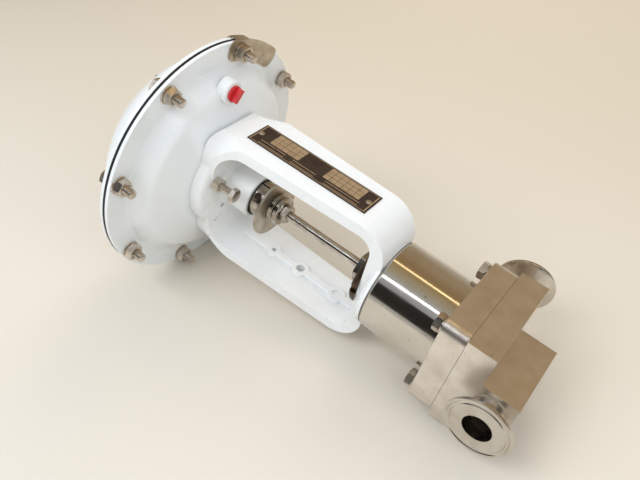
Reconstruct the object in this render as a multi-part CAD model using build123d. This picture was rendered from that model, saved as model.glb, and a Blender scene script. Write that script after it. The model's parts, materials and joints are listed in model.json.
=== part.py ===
from build123d import *
import os
from math import atan2, cos, degrees, pi, radians, sin, sqrt, tan

# Sanitary control valve: bar stock body, bonnet, cast yoke and spring closed diaphragm actuator.
# Every piece is drawn round the stem: Z runs along the stem from the plug up to the actuator,
# zero at the split between body and bonnet, and X points out of the inlet.
# At the end one placement lays the valve down on its casing rim and on one edge of its body.

# ---- fits and clearances ----
running_clearance = 0.05
thread_clearance = 0.05
bolt_clearance = 0.5
free_clearance = 0.3

# ---- clamp ferrules ----
ferrule_od = 50.5
ferrule_bore = 22.1
ferrule_rim = 2.85
ferrule_slope = 20.0
tube_od = 25.4
gasket_groove_r = 21.8
gasket_groove_w = 3.0
gasket_groove_depth = 0.8

# ---- body ----
block_side = 89.5
block_thickness = 22.4
port_block_width = 35.0
port_block_depth = 29.1
port_block_reach = 21.5
inlet_length = 19.1
outlet_length = 42.5
inlet_bore = 19.0
outlet_bore = 16.0
outlet_neck_od = 21.0
outlet_rise = 8.3
seat_bore = 16.0
throat_bore = 20.0
seat_height = 3.0
chamber_r = 21.0
chamber_floor = 18.0
body_gasket_r = 29.0
body_gasket_width = 5.0
body_gasket_t = 1.6

# ---- bonnet ----
bonnet_thickness = 20.2
bonnet_corner_r = 10.0
barrel_od = 76.6
barrel_top = 80.9
barrel_chamfer = 2.2
spigot_r = 26.0
spigot_length = 4.0
plug_recess_r = 14.0
plug_recess_depth = 8.0
guide_od = 16.0
packing_box_r = 9.0
packing_box_floor = 45.0
neck_r = 20.0

# ---- body bolts, M8 ----
bolt_r = 4.0
bolt_af = 13.0
bolt_head_h = 5.5
nut_h = 6.5
washer_r = 7.8
washer_t = 1.5
body_bolt_offset = 34.5
body_bolt_depth = 15.0

# ---- yoke ----
yoke_half_height = 60.0
leg_thickness = 12.0
leg_half_width_low = 24.0
leg_half_width_high = 34.0
low_web_t = 12.2
end_web_t = 13.5
yoke_top = 251.5
yoke_pad_r = 45.6
yoke_base_r = 37.6
yoke_outer_round = 27.0
yoke_pad_round = 12.0
window_round_low = 20.0
window_round_high = 20.0
leg_edge_round = 9.0
window_edge_round = 4.5
boss_r = 24.0
boss_h = 2.5
leg_hole_places = (107.9, 77.4, 38.0)
leg_hole_radii = (2.1, 4.0, 4.2)
leg_dimple_depth = 1.5
web_hole_r = 2.3
web_hole_places = ((26.3, -27.7), (-8.0, -38.0))

# ---- nameplate ----
nameplate_width = 25.0
nameplate_length = 114.0
nameplate_t = 0.8
nameplate_low = 31.0
rivet_inset = 4.5
rivet_r = 2.4
rivet_h = 1.2

# ---- yoke nut, gland and packing ----
yoke_nut_r = 27.0
yoke_nut_h = 6.0
yoke_nut_slots = 6
yoke_nut_slot = 5.0
gland_af = 24.0
gland_head_h = 7.0
gland_depth = 10.0
follower_h = 8.0
packing_ring_h = 3.6
packing_ring_count = 5
packing_wire_r = 1.0
packing_coils = 4

# ---- stem assembly ----
travel = 14.0
stem_r = 4.0
plug_r = 11.0
plug_length = 11.0
plug_tip = 3.2
stem_top = 212.0
actuator_stem_r = 8.0
actuator_stem_low = 214.2
connector_r = 14.5
connector_low = 206.0
connector_h = 15.0
connector_slot = 1.4
clamp_screw_r = 2.5
indicator_r = 28.0
indicator_t = 2.0
collar_r = 9.5
collar_h = 5.0
ring_nut_r = 12.5
ring_nut_h = 4.2
ring_nut_gap = 0.6
jam_nut_af = 14.0
jam_nut_h = 6.0

# ---- travel stop ----
stop_place = (29.6, 14.6)
stop_gap = 0.3

# ---- actuator ----
casing_r = 110.3
casing_sheet = 3.0
flange_inner_r = 91.0
diaphragm_plane = 278.5
diaphragm_t = 2.4
diaphragm_drop = 7.0
lower_shoulder_r = 80.0
lower_shoulder_drop = 13.5
upper_height = 52.0
upper_top_r = 58.0
casing_bolt_count = 8
casing_bolt_circle_r = 101.9
casing_bolt_start = -29.7
casing_bolt_end = 258.0
casing_screw_count = 4
casing_screw_circle_r = 36.0
casing_screw_start = 62.0
casing_screw_r = 3.0
casing_screw_head_r = 5.0
casing_screw_head_h = 5.0
casing_screw_depth = 9.0
plate_r = 66.0
plate_t = 3.3
plate_hub_r = 16.0
stem_collar_r = 12.0
stem_washer_t = 4.0
stem_washer_r = 20.0
lock_nut_af = 19.0
lock_nut_h = 8.0
spring_r = 38.0
spring_wire_r = 3.5
spring_turns = 4.0
spring_seat_t = 2.0
bush_r = 12.0
bush_flange_r = 17.0
bush_flange_h = 3.0
o_ring_r = 1.6
air_boss_place = 80.0
air_boss_r = 10.5
air_boss_top = 254.5
air_thread_r = 5.0
air_plug_r = 6.8
air_plug_flange = 2.2
air_grip_h = 4.4
air_grip_w = 4.6
vent_place = 48.0
vent_r = 6.0
vent_h = 7.0

# ---- tag under one casing nut ----
tag_t = 1.0
tag_bolt = 3
tag_start = 97.0
tag_end = 133.0
tag_inner_r = 94.0
tag_outer_r = 112.4
tag_lip_end = 111.0
tag_lip_up = 9.0

# ---- worked out from the sizes above ----
block_half = block_side / 2
inlet_axis_z = -block_thickness - 0.425 * port_block_depth
outlet_axis_z = -block_thickness / 2
web_low = barrel_top + low_web_t
web_high = yoke_top - end_web_t
window_half = yoke_half_height - leg_thickness
indicator_low = connector_low - collar_h - indicator_t
ring_nut_low = indicator_low - 2 * ring_nut_h - ring_nut_gap
jam_nut_low = ring_nut_low - jam_nut_h
flange_low = diaphragm_plane - diaphragm_t / 2
flange_face = flange_low - casing_sheet
upper_flange_low = diaphragm_plane + diaphragm_t / 2
upper_top = diaphragm_plane + upper_height
plate_low = diaphragm_plane - diaphragm_drop + diaphragm_t / 2
casing_bolt_angles = [casing_bolt_start + 360 / casing_bolt_count * k for k in range(casing_bolt_count)]
lie_angle = degrees(atan2(casing_r - block_half, flange_face + block_thickness))


def cylinder(radius, low, high, x=0.0, y=0.0):
    return Pos(x, y, (low + high) / 2) * Cylinder(radius, high - low)


def tube(outer, inner, low, high, x=0.0, y=0.0):
    return cylinder(outer, low, high, x, y) - cylinder(inner, low - 1, high + 1, x, y)


def hexagon(across_flats, low, high, x=0.0, y=0.0, turn=0.0):
    prism = extrude(RegularPolygon(across_flats / 2, 6, major_radius=False), high - low)
    corner_cone = Pos(0, 0, (high - low) / 2) * Cylinder(across_flats / 2 * 1.12, high - low)
    return Pos(x, y, low) * Rot(0, 0, turn) * (prism & corner_cone)


def block(low, high):
    size = [b - a for a, b in zip(low, high)]
    centre = [(a + b) / 2 for a, b in zip(low, high)]
    return Pos(*centre) * Box(*size)


def turned(*points):
    return revolve(Plane.XZ * make_face(Polyline(*points, close=True)), Axis.Z)


def along_x(shape, x, z, turn):
    # a piece drawn with its axis along Z, turned so that the axis points along +X or -X
    return Pos(x, 0, z) * Rot(0, turn, 0) * shape


def parallel_path(points, radii, distance):
    # the same path moved to its left by a distance, with each bend radius grown or shrunk to match
    runs = [(q[0] - p[0], q[1] - p[1]) for p, q in zip(points, points[1:])]
    lengths = [sqrt(x * x + y * y) for x, y in runs]
    normals = [(-y / n, x / n) for (x, y), n in zip(runs, lengths)]
    moved = [(points[0][0] + distance * normals[0][0], points[0][1] + distance * normals[0][1])]
    bends = []
    for k in range(1, len(runs)):
        (ax, ay), (bx, by) = normals[k - 1], normals[k]
        scale = distance / (1 + ax * bx + ay * by)
        moved.append((points[k][0] + scale * (ax + bx), points[k][1] + scale * (ay + by)))
        turns_left = ax * by - ay * bx > 0
        bends.append(radii[k - 1] + (-distance if turns_left else distance))
    moved.append((points[-1][0] + distance * normals[-1][0], points[-1][1] + distance * normals[-1][1]))
    return moved, bends


def sheet_of_revolution(points, radii, thickness):
    # pressed sheet turned round the stem, lying to the left of its path
    moved, bends = parallel_path(points, radii, thickness)
    one_side = FilletPolyline(*points, radius=radii)
    other_side = FilletPolyline(*moved, radius=bends)
    ends = [Line(points[0], moved[0]), Line(points[-1], moved[-1])]
    profile = make_face(one_side.edges() + other_side.edges() + ends)
    return revolve(Plane.XZ * profile, Axis.Z)


def rounded_outline(corners):
    # a closed outline in the YZ plane, each corner given as (y, z, radius)
    sketch = make_face(Polyline(*[(y, z) for y, z, r in corners], close=True))
    for y, z, r in corners:
        corner = min(sketch.vertices(), key=lambda v: (v.X - y) ** 2 + (v.Y - z) ** 2)
        sketch = fillet(corner, r)
    return sketch


def around(count, circle_r, start, piece):
    step = 360 / count
    places = [(circle_r * cos(radians(start + step * k)), circle_r * sin(radians(start + step * k)))
              for k in range(count)]
    return [piece(x, y, k) for k, (x, y) in enumerate(places)]


def coil(mean_r, wire_r, low, high, turns):
    pitch = (high - low - 2 * wire_r) / turns
    path = Helix(pitch=pitch, height=pitch * turns, radius=mean_r)
    section = Plane(origin=path @ 0, z_dir=path % 0) * Circle(wire_r)
    return Pos(0, 0, low + wire_r) * sweep(section, path)


# ---- body and ports ----

def valve_body():
    half = block_half
    body = block((-half, -half, -block_thickness), (half, half, 0))
    port_low = -block_thickness - port_block_depth
    body += block((-port_block_reach, -port_block_width / 2, port_low), (half, port_block_width / 2, -block_thickness))
    # chamber under the bonnet, seat, throat and the two ports
    body -= cylinder(chamber_r, -chamber_floor, 1)
    body -= cylinder(seat_bore / 2, inlet_axis_z, -chamber_floor + 1)
    body -= turned((0, -chamber_floor - seat_height), (seat_bore / 2, -chamber_floor - seat_height),
                   (seat_bore / 2 + seat_height, -chamber_floor), (0, -chamber_floor))
    body -= cylinder(throat_bore / 2, inlet_axis_z, -chamber_floor - seat_height - 3)
    body -= along_x(Pos(0, 0, (half + 1) / 2) * Cylinder(inlet_bore / 2, half + 1), 0, inlet_axis_z, 90)
    body -= along_x(Pos(0, 0, (half + 1) / 2) * Cylinder(outlet_bore / 2, half + 1), 0, outlet_axis_z, -90)
    groove_inner = body_gasket_r - body_gasket_width
    body -= tube(body_gasket_r, groove_inner, -body_gasket_t, 1)
    for x, y in body_bolt_places():
        body -= cylinder(bolt_r + thread_clearance, -body_bolt_depth - 3, 1, x, y)
    return body


def ferrule(length, neck_od, start_bore):
    # drawn along Z with the weld end at zero and the clamp face at its length
    rim_low = length - ferrule_rim
    slope = (ferrule_od - tube_od) / 2 * tan(radians(ferrule_slope))
    neck = neck_od / 2
    piece = turned((0, 0), (neck, 0), (tube_od / 2, rim_low - slope - 1.0), (tube_od / 2 + 0.5, rim_low - slope),
                   (ferrule_od / 2 - 0.6, rim_low), (ferrule_od / 2, rim_low + 0.6),
                   (ferrule_od / 2, length - 0.5), (ferrule_od / 2 - 0.5, length), (0, length))
    waist = rim_low - slope - 1.0
    piece -= turned((0, -1), (start_bore / 2, -1), (start_bore / 2, 0), (ferrule_bore / 2, waist),
                    (ferrule_bore / 2, length + 1), (0, length + 1))
    groove = gasket_groove_w / 2
    piece -= turned((gasket_groove_r - groove, length + 1), (gasket_groove_r - groove, length),
                    (gasket_groove_r - groove * 0.6, length - gasket_groove_depth),
                    (gasket_groove_r + groove * 0.6, length - gasket_groove_depth),
                    (gasket_groove_r + groove, length), (gasket_groove_r + groove, length + 1))
    return piece


def inlet_ferrule():
    return along_x(ferrule(inlet_length, tube_od, inlet_bore), block_half, inlet_axis_z, 90)


def outlet_ferrule():
    # the outlet neck climbs a little, so that its clamp face stands above the body's port
    climb = degrees(atan2(outlet_rise, outlet_length))
    length = sqrt(outlet_length ** 2 + outlet_rise ** 2)
    neck = along_x(ferrule(length, outlet_neck_od, outlet_bore), -block_half, outlet_axis_z, -90 + climb)
    keep = block((-block_half - 3 * outlet_length, -ferrule_od, -3 * ferrule_od), (-block_half, ferrule_od, 3 * ferrule_od))
    root = along_x(tube(outlet_neck_od / 2, outlet_bore / 2, -6, 6), -block_half, outlet_axis_z, -90 + climb)
    bore = along_x(cylinder(outlet_bore / 2, -8, 4), -block_half, outlet_axis_z, -90 + climb)
    return (neck + root - bore) & keep


def body_gasket():
    return tube(body_gasket_r, body_gasket_r - body_gasket_width, -body_gasket_t, 0)


# ---- bonnet ----

def body_bolt_places():
    at = body_bolt_offset
    return [(at, at), (-at, at), (-at, -at), (at, -at)]


def bonnet_flange():
    plate = extrude(RectangleRounded(block_side, block_side, bonnet_corner_r), bonnet_thickness)
    plate -= cylinder(plug_recess_r, -1, plug_recess_depth)
    plate -= cylinder(guide_od / 2, 0, bonnet_thickness + 1)
    plate -= cylinder(spigot_r + running_clearance, bonnet_thickness - spigot_length, bonnet_thickness + 1)
    for x, y in body_bolt_places():
        plate -= cylinder(bolt_r + bolt_clearance, -1, bonnet_thickness + 1, x, y)
    return plate


def bonnet_barrel():
    r = barrel_od / 2
    neck_top = web_low + yoke_nut_h
    barrel = turned((0, bonnet_thickness - spigot_length), (spigot_r, bonnet_thickness - spigot_length),
                    (spigot_r, bonnet_thickness), (r, bonnet_thickness), (r, barrel_top - barrel_chamfer),
                    (r - barrel_chamfer, barrel_top), (neck_r, barrel_top), (neck_r, neck_top), (0, neck_top))
    barrel -= cylinder(stem_r + bolt_clearance, bonnet_thickness - spigot_length - 1, packing_box_floor + 1)
    barrel -= cylinder(packing_box_r, packing_box_floor, neck_top + 1)
    return barrel


def stem_guide_bush():
    return tube(guide_od / 2, stem_r + running_clearance, plug_recess_depth, bonnet_thickness - spigot_length)


def body_bolt(x, y):
    seat = bonnet_thickness + washer_t
    bolt = cylinder(bolt_r, -body_bolt_depth, seat, x, y)
    return bolt + hexagon(bolt_af, seat, seat + bolt_head_h, x, y, 15)


def body_bolts():
    return Compound(children=[body_bolt(x, y) for x, y in body_bolt_places()])


def body_washers():
    top = bonnet_thickness + washer_t
    return Compound(children=[tube(washer_r - 0.8, bolt_r + thread_clearance, bonnet_thickness, top, x, y)
                              for x, y in body_bolt_places()])


def packing_spring_top():
    return packing_box_floor + 14.0


def packing_rings():
    inner = stem_r + 1.5 * running_clearance
    outer = packing_box_r - running_clearance
    rings = []
    for k in range(packing_ring_count):
        low = packing_spring_top() + k * packing_ring_h
        mid = (inner + outer) / 2
        crest = packing_ring_h * 0.45
        rings.append(turned((inner, low), (mid, low + crest), (outer, low), (outer, low + packing_ring_h - crest),
                            (mid, low + packing_ring_h - 0.1), (inner, low + packing_ring_h - crest)))
    return Compound(children=rings)


def packing_spring():
    mean = (packing_box_r + stem_r) / 2
    return coil(mean, packing_wire_r, packing_box_floor, packing_spring_top(), packing_coils)


def packing_follower():
    low = packing_spring_top() + packing_ring_count * packing_ring_h
    top = web_low + yoke_nut_h - gland_depth
    return tube(packing_box_r - running_clearance, stem_r + free_clearance, low, top)


def gland_nut():
    seat = web_low + yoke_nut_h
    nut = cylinder(packing_box_r - thread_clearance, seat - gland_depth, seat)
    nut += hexagon(gland_af, seat, seat + gland_head_h, turn=10)
    return nut - cylinder(stem_r + free_clearance, seat - gland_depth - 1, seat + gland_head_h + 1)


def yoke_nut():
    top = web_low + yoke_nut_h
    nut = turned((neck_r + thread_clearance, web_low), (yoke_nut_r, web_low), (yoke_nut_r, top - 2.0),
                 (yoke_nut_r - 2.0, top), (neck_r + thread_clearance, top))
    for k in range(yoke_nut_slots):
        slot = block((yoke_nut_r - 3.5, -yoke_nut_slot / 2, web_low - 1), (yoke_nut_r + 1, yoke_nut_slot / 2, top + 1))
        nut -= Rot(0, 0, 360 / yoke_nut_slots * k) * slot
    return nut


# ---- yoke ----

def yoke():
    outline = rounded_outline([
        (-yoke_half_height, barrel_top, yoke_outer_round), (yoke_half_height, barrel_top, yoke_outer_round),
        (yoke_half_height, yoke_top, yoke_pad_round), (-yoke_half_height, yoke_top, yoke_pad_round)])
    depth = 2 * leg_half_width_high + 20
    frame = extrude(Plane.YZ * outline, depth / 2, both=True)
    # the legs widen from the bonnet to the actuator
    low, high = leg_half_width_low, leg_half_width_high
    flare = make_face(Polyline((-low, barrel_top - 1), (low, barrel_top - 1), (high, yoke_top + 1),
                               (-high, yoke_top + 1), close=True))
    frame &= extrude(Plane.XZ * flare, yoke_half_height + 10, both=True)
    long_edges = [e for e in frame.edges() if abs((e @ 0.5).X) > low * 0.95 and (e @ 0.5).Z < yoke_top - 0.5]
    frame = fillet(long_edges, leg_edge_round)
    # round base on the bonnet and round pad under the casing
    frame += turned((0, barrel_top), (yoke_base_r, barrel_top), (yoke_base_r, barrel_top + 2.5),
                    (yoke_base_r - 3.0, barrel_top + 6.0), (0, barrel_top + 8.0))
    frame += turned((0, web_high + 1.0), (yoke_pad_r - 5.0, web_high + 1.0), (yoke_pad_r - 1.5, web_high + 3.0),
                    (yoke_pad_r, web_high + 6.5), (yoke_pad_r, yoke_top), (0, yoke_top))
    window = rounded_outline([
        (-window_half, web_low, window_round_low), (window_half, web_low, window_round_low),
        (window_half, web_high, window_round_high), (-window_half, web_high, window_round_high)])
    frame -= extrude(Plane.YZ * window, depth, both=True)
    frame += cylinder(boss_r, web_high - boss_h, web_high + 1)
    frame -= cylinder(neck_r + bolt_clearance, barrel_top - 1, web_low + 1)
    frame -= cylinder(bush_r + running_clearance, web_high - boss_h - 1, yoke_top + 1)
    for place, radius in zip(leg_hole_places[:2], leg_hole_radii[:2]):
        hole = Pos(0, -yoke_half_height, barrel_top + place) * Rot(90, 0, 0) * Cylinder(radius, 3 * leg_thickness)
        frame -= hole
    dimple = Cylinder(leg_hole_radii[2], 2 * leg_dimple_depth)
    frame -= Pos(0, -window_half, barrel_top + leg_hole_places[2]) * Rot(90, 0, 0) * dimple
    for x, y in web_hole_places:
        frame -= cylinder(web_hole_r, web_high - 1, web_high + 8, x, y)
    frame -= cylinder(bolt_r + thread_clearance, web_high - 1, yoke_top - 3, *stop_place)
    for hole in around(casing_screw_count, casing_screw_circle_r, casing_screw_start, casing_screw_hole):
        frame -= hole
    return frame


def casing_screw_hole(x, y, k):
    return cylinder(casing_screw_r + thread_clearance, yoke_top - casing_screw_depth - 1, yoke_top + 1, x, y)


def nameplate_span():
    low = barrel_top + nameplate_low
    return low, low + nameplate_length


def rivet_places():
    low, high = nameplate_span()
    return [(0, low + rivet_inset), (0, high - rivet_inset)]


def nameplate():
    low, high = nameplate_span()
    half = nameplate_width / 2
    return block((-half, yoke_half_height, low), (half, yoke_half_height + nameplate_t, high))


def rivet(x, z):
    head = turned((0, 0), (rivet_r, 0), (rivet_r * 0.8, rivet_h * 0.7), (0, rivet_h))
    return Pos(x, yoke_half_height + nameplate_t, z) * Rot(-90, 0, 0) * head


def nameplate_rivets():
    return Compound(children=[rivet(x, z) for x, z in rivet_places()])


def travel_stop_screw():
    x, y = stop_place
    head_low = indicator_low + indicator_t + travel + stop_gap
    screw = hexagon(bolt_af, head_low, head_low + bolt_head_h, x, y, 20)
    return screw + cylinder(bolt_r, head_low + bolt_head_h, yoke_top - 4, x, y)


def travel_stop_nut():
    x, y = stop_place
    nut = hexagon(bolt_af, web_high - nut_h, web_high, x, y, 50)
    return nut - cylinder(bolt_r + thread_clearance, web_high - nut_h - 1, web_high + 1, x, y)


# ---- stem assembly ----

def valve_plug():
    low = -chamber_floor - seat_height
    gap = seat_bore / 2 - free_clearance
    cone_low = low + free_clearance * 1.2
    cone_high = cone_low + plug_r - gap
    plug = turned((0, low - plug_tip), (gap - 2.0, low - plug_tip), (gap, cone_low), (plug_r, cone_high),
                  (plug_r, cone_high + plug_length - 2), (plug_r - 2, cone_high + plug_length), (0, cone_high + plug_length))
    return plug - cylinder(stem_r + thread_clearance, cone_high, cone_high + plug_length + 1)


def stem_low():
    return -chamber_floor - seat_height + free_clearance * 1.2 + plug_r - (seat_bore / 2 - free_clearance)


def valve_stem():
    return cylinder(stem_r, stem_low(), stem_top)


def stem_connector():
    high = connector_low + connector_h
    step = (stem_top + actuator_stem_low) / 2
    body = turned((0, connector_low), (connector_r - 1, connector_low), (connector_r, connector_low + 1),
                  (connector_r, high - 1), (connector_r - 1, high), (0, high))
    body -= cylinder(stem_r + thread_clearance, connector_low - 1, step)
    body -= cylinder(actuator_stem_r + thread_clearance, step, high + 1)
    body -= Rot(0, 0, slot_turn) * block((0, -connector_slot / 2, connector_low - 1), (connector_r + 1, connector_slot / 2, high + 1))
    body -= clamp_screw_space(clamp_screw_r + thread_clearance, 2 * connector_r)
    body -= clamp_screw_space(clamp_screw_r * 1.9, connector_r, connector_r * 0.55)
    return body


slot_turn = 62.0


def clamp_screw_space(radius, length, start=None):
    low = -length / 2 if start is None else -start - length
    piece = Pos(0, 0, low + length / 2) * Cylinder(radius, length)
    return Rot(0, 0, slot_turn) * Pos((connector_r + actuator_stem_r) / 2, 0, connector_low + connector_h / 2) * Rot(90, 0, 0) * piece


def connector_screw():
    reach = connector_r * 0.55
    shank = clamp_screw_space(clamp_screw_r, reach + 3.0, -3.0)
    head = clamp_screw_space(clamp_screw_r * 1.8, 2.5, reach)
    return shank + head


def adjusting_collar():
    low = connector_low - collar_h
    points = [(stem_r + thread_clearance, low)]
    ribs = 5
    pitch = collar_h / ribs
    for k in range(ribs):
        points += [(collar_r - 0.7, low + k * pitch), (collar_r, low + (k + 0.5) * pitch)]
    points += [(collar_r - 0.7, connector_low), (stem_r + thread_clearance, connector_low)]
    return turned(*points)


def indicator_disc():
    return tube(indicator_r, stem_r + thread_clearance, indicator_low, indicator_low + indicator_t)


def ring_nut(low):
    high = low + ring_nut_h
    mid = (low + high) / 2
    return turned((stem_r + thread_clearance, low), (ring_nut_r - 1, low), (ring_nut_r, low + 0.8),
                  (ring_nut_r, mid - 0.5), (ring_nut_r - 1, mid), (ring_nut_r, mid + 0.5), (ring_nut_r, high - 0.8),
                  (ring_nut_r - 1, high), (stem_r + thread_clearance, high))


def ring_nuts():
    upper_low = indicator_low - ring_nut_h
    spacer = tube(ring_nut_r - 3, stem_r + thread_clearance, upper_low - ring_nut_gap, upper_low)
    return Compound(children=[ring_nut(upper_low), ring_nut(ring_nut_low) + spacer])


def jam_nut():
    nut = hexagon(jam_nut_af, jam_nut_low, ring_nut_low, turn=25)
    return nut - cylinder(stem_r + thread_clearance, jam_nut_low - 1, ring_nut_low + 1)


def actuator_stem():
    collar_top = plate_low - diaphragm_t - stem_washer_t
    nut_top = plate_low + plate_t + lock_nut_h
    stem = cylinder(actuator_stem_r, actuator_stem_low, nut_top + 3)
    return stem + cylinder(stem_collar_r, collar_top - 3, collar_top)


def diaphragm_washer():
    top = plate_low - diaphragm_t
    return tube(stem_washer_r, actuator_stem_r + thread_clearance, top - stem_washer_t, top)


def diaphragm_plate():
    bore = actuator_stem_r + thread_clearance
    return turned((bore, plate_low), (plate_r - 3, plate_low), (plate_r, plate_low + 3), (plate_r, plate_low + 8),
                  (plate_r - plate_t, plate_low + 8), (plate_r - plate_t, plate_low + plate_t), (bore, plate_low + plate_t))


def stem_lock_nut():
    low = plate_low + plate_t
    nut = hexagon(lock_nut_af, low, low + lock_nut_h)
    return nut - cylinder(actuator_stem_r + thread_clearance, low - 1, low + lock_nut_h + 1)


# ---- actuator casings and what they hold ----

def lower_dome_path():
    shoulder = flange_face - lower_shoulder_drop
    return [(bush_r + free_clearance, yoke_top), (yoke_pad_r + 6, yoke_top), (lower_shoulder_r, shoulder),
            (flange_inner_r, flange_face), (casing_r, flange_face)]


def casing_bolt_hole(x, y, k):
    low, high = flange_face - 1, upper_flange_low + casing_sheet + 1
    return cylinder(bolt_r + bolt_clearance, low, high, x, y)


def lower_casing():
    shell = sheet_of_revolution(lower_dome_path(), [10.0, 14.0, 5.0], casing_sheet)
    for hole in around(casing_bolt_count, casing_bolt_circle_r, casing_bolt_start, casing_bolt_hole):
        shell -= hole
    for x, y in screw_places():
        shell -= cylinder(casing_screw_r + bolt_clearance, yoke_top - 1, yoke_top + casing_sheet + 1, x, y)
    boss = cylinder(air_boss_r, air_boss_top, flange_face - lower_shoulder_drop + 3, 0, air_boss_place)
    boss = chamfer(boss.edges().group_by(Axis.Z)[0], 1.2)
    shell += boss
    shell -= cylinder(air_thread_r + thread_clearance, air_boss_top - 1, flange_face, 0, air_boss_place)
    return shell


def screw_places():
    return around(casing_screw_count, casing_screw_circle_r, casing_screw_start, lambda x, y, k: (x, y))


def upper_casing():
    low = upper_flange_low
    path = [(0, upper_top - casing_sheet), (upper_top_r, upper_top - casing_sheet),
            (flange_inner_r - 8, low + upper_height * 0.5), (flange_inner_r - 2, low), (casing_r, low)]
    shell = sheet_of_revolution(path, [22.0, 20.0, 5.0], casing_sheet)
    for hole in around(casing_bolt_count, casing_bolt_circle_r, casing_bolt_start, casing_bolt_hole):
        shell -= hole
    return shell - cylinder(vent_r - 1.5, upper_top - casing_sheet - 1, upper_top + 1, 0, vent_place)


def vent_cap():
    low = upper_top - casing_sheet
    cap = cylinder(vent_r - 1.5 - thread_clearance, low, upper_top, 0, vent_place)
    cap += hexagon(2 * vent_r, upper_top, upper_top + vent_h, 0, vent_place)
    return cap - cylinder(1.5, low - 1, upper_top + vent_h - 2, 0, vent_place)


def diaphragm():
    t = diaphragm_t
    low = plate_low - t
    path = [(actuator_stem_r + thread_clearance, low), (plate_r + 3, low), (flange_inner_r - 14, low - 1.5),
            (flange_inner_r - 8, flange_low), (casing_r, flange_low)]
    sheet = sheet_of_revolution(path, [4.0, 3.0, 3.0], t)
    for hole in around(casing_bolt_count, casing_bolt_circle_r, casing_bolt_start, casing_bolt_hole):
        sheet -= hole
    return sheet


def casing_bolt(x, y, k):
    seat = upper_flange_low + casing_sheet
    bolt = cylinder(bolt_r, casing_bolt_end, seat, x, y)
    bolt = chamfer(bolt.edges().group_by(Axis.Z)[0], 0.8)
    return bolt + hexagon(bolt_af, seat, seat + bolt_head_h, x, y, 30 + 45 * k)


def nut_seat(k):
    return flange_face - (tag_t if k == tag_bolt else 0)


def casing_washer(x, y, k):
    return tube(washer_r, bolt_r + thread_clearance, nut_seat(k) - washer_t, nut_seat(k), x, y)


def casing_nut(x, y, k):
    top = nut_seat(k) - washer_t
    nut = hexagon(bolt_af, top - nut_h, top, x, y, 11 + 37 * k)
    return nut - cylinder(bolt_r + thread_clearance, top - nut_h - 1, top + 1, x, y)


def casing_ring(piece):
    return Compound(children=around(casing_bolt_count, casing_bolt_circle_r, casing_bolt_start, piece))


def casing_screw(x, y, k):
    seat = yoke_top + casing_sheet
    screw = cylinder(casing_screw_r, yoke_top - casing_screw_depth, seat, x, y)
    screw += cylinder(casing_screw_head_r, seat, seat + casing_screw_head_h, x, y)
    socket = extrude(RegularPolygon(2.5, 6, major_radius=False), 3)
    return screw - Pos(x, y, seat + casing_screw_head_h - 2.5) * socket


def casing_screws():
    return Compound(children=around(casing_screw_count, casing_screw_circle_r, casing_screw_start, casing_screw))


def stem_bush():
    # flanged bush in the end web, with a groove for its seal
    seat = yoke_top + casing_sheet
    bush = turned((actuator_stem_r + running_clearance, web_high - boss_h), (bush_r, web_high - boss_h), (bush_r, seat),
                  (bush_flange_r, seat), (bush_flange_r, seat + bush_flange_h),
                  (actuator_stem_r + running_clearance, seat + bush_flange_h))
    return bush - tube(actuator_stem_r + 2 * o_ring_r, 1, seal_low() - o_ring_r, seal_low() + o_ring_r)


def seal_low():
    return (web_high + yoke_top) / 2


def stem_seal():
    ring = Plane.XZ * Pos(actuator_stem_r + o_ring_r + running_clearance / 2, seal_low()) * Circle(o_ring_r - running_clearance)
    return revolve(ring, Axis.Z)


def actuator_spring():
    low = plate_low + plate_t
    high = upper_top - casing_sheet - spring_seat_t
    return coil(spring_r, spring_wire_r, low, high, spring_turns)


def spring_seat():
    high = upper_top - casing_sheet
    return tube(spring_r + spring_wire_r + 2, spring_r - spring_wire_r - 2, high - spring_seat_t, high)


def air_plug():
    low = air_boss_top - air_plug_flange
    plug = cylinder(air_thread_r, air_boss_top, air_boss_top + 6, 0, air_boss_place)
    plug += cylinder(air_plug_r, low, air_boss_top, 0, air_boss_place)
    grip = Box(air_grip_w, 2 * air_plug_r - 1.5, air_grip_h)
    return plug + Pos(0, air_boss_place, low - air_grip_h / 2) * Rot(0, 0, 40) * grip


def arc_band(inner, outer, start, end, low, high):
    band = tube(outer, inner, low, high)
    span = radians(end - start)
    reach = 3 * outer
    wedge = make_face(Polyline((0, 0), (reach, 0), (reach * cos(span / 2), reach * sin(span / 2)),
                               (reach * cos(span), reach * sin(span)), close=True))
    return band & (Pos(0, 0, low - 1) * Rot(0, 0, start) * extrude(wedge, high - low + 2))


def tag():
    face = flange_face
    plate = arc_band(tag_inner_r, tag_outer_r, tag_start, tag_end, face - tag_t, face)
    plate = fillet(plate.edges().filter_by(Axis.Z), 7.0)
    lip = arc_band(casing_r + free_clearance, casing_r + free_clearance + tag_t, tag_start + 4.5, tag_lip_end,
                   face - tag_t, face + tag_lip_up)
    angle = radians(casing_bolt_angles[tag_bolt])
    x, y = casing_bolt_circle_r * cos(angle), casing_bolt_circle_r * sin(angle)
    return plate + lip - cylinder(bolt_r + bolt_clearance, face - 5, face + 5, x, y)


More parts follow.
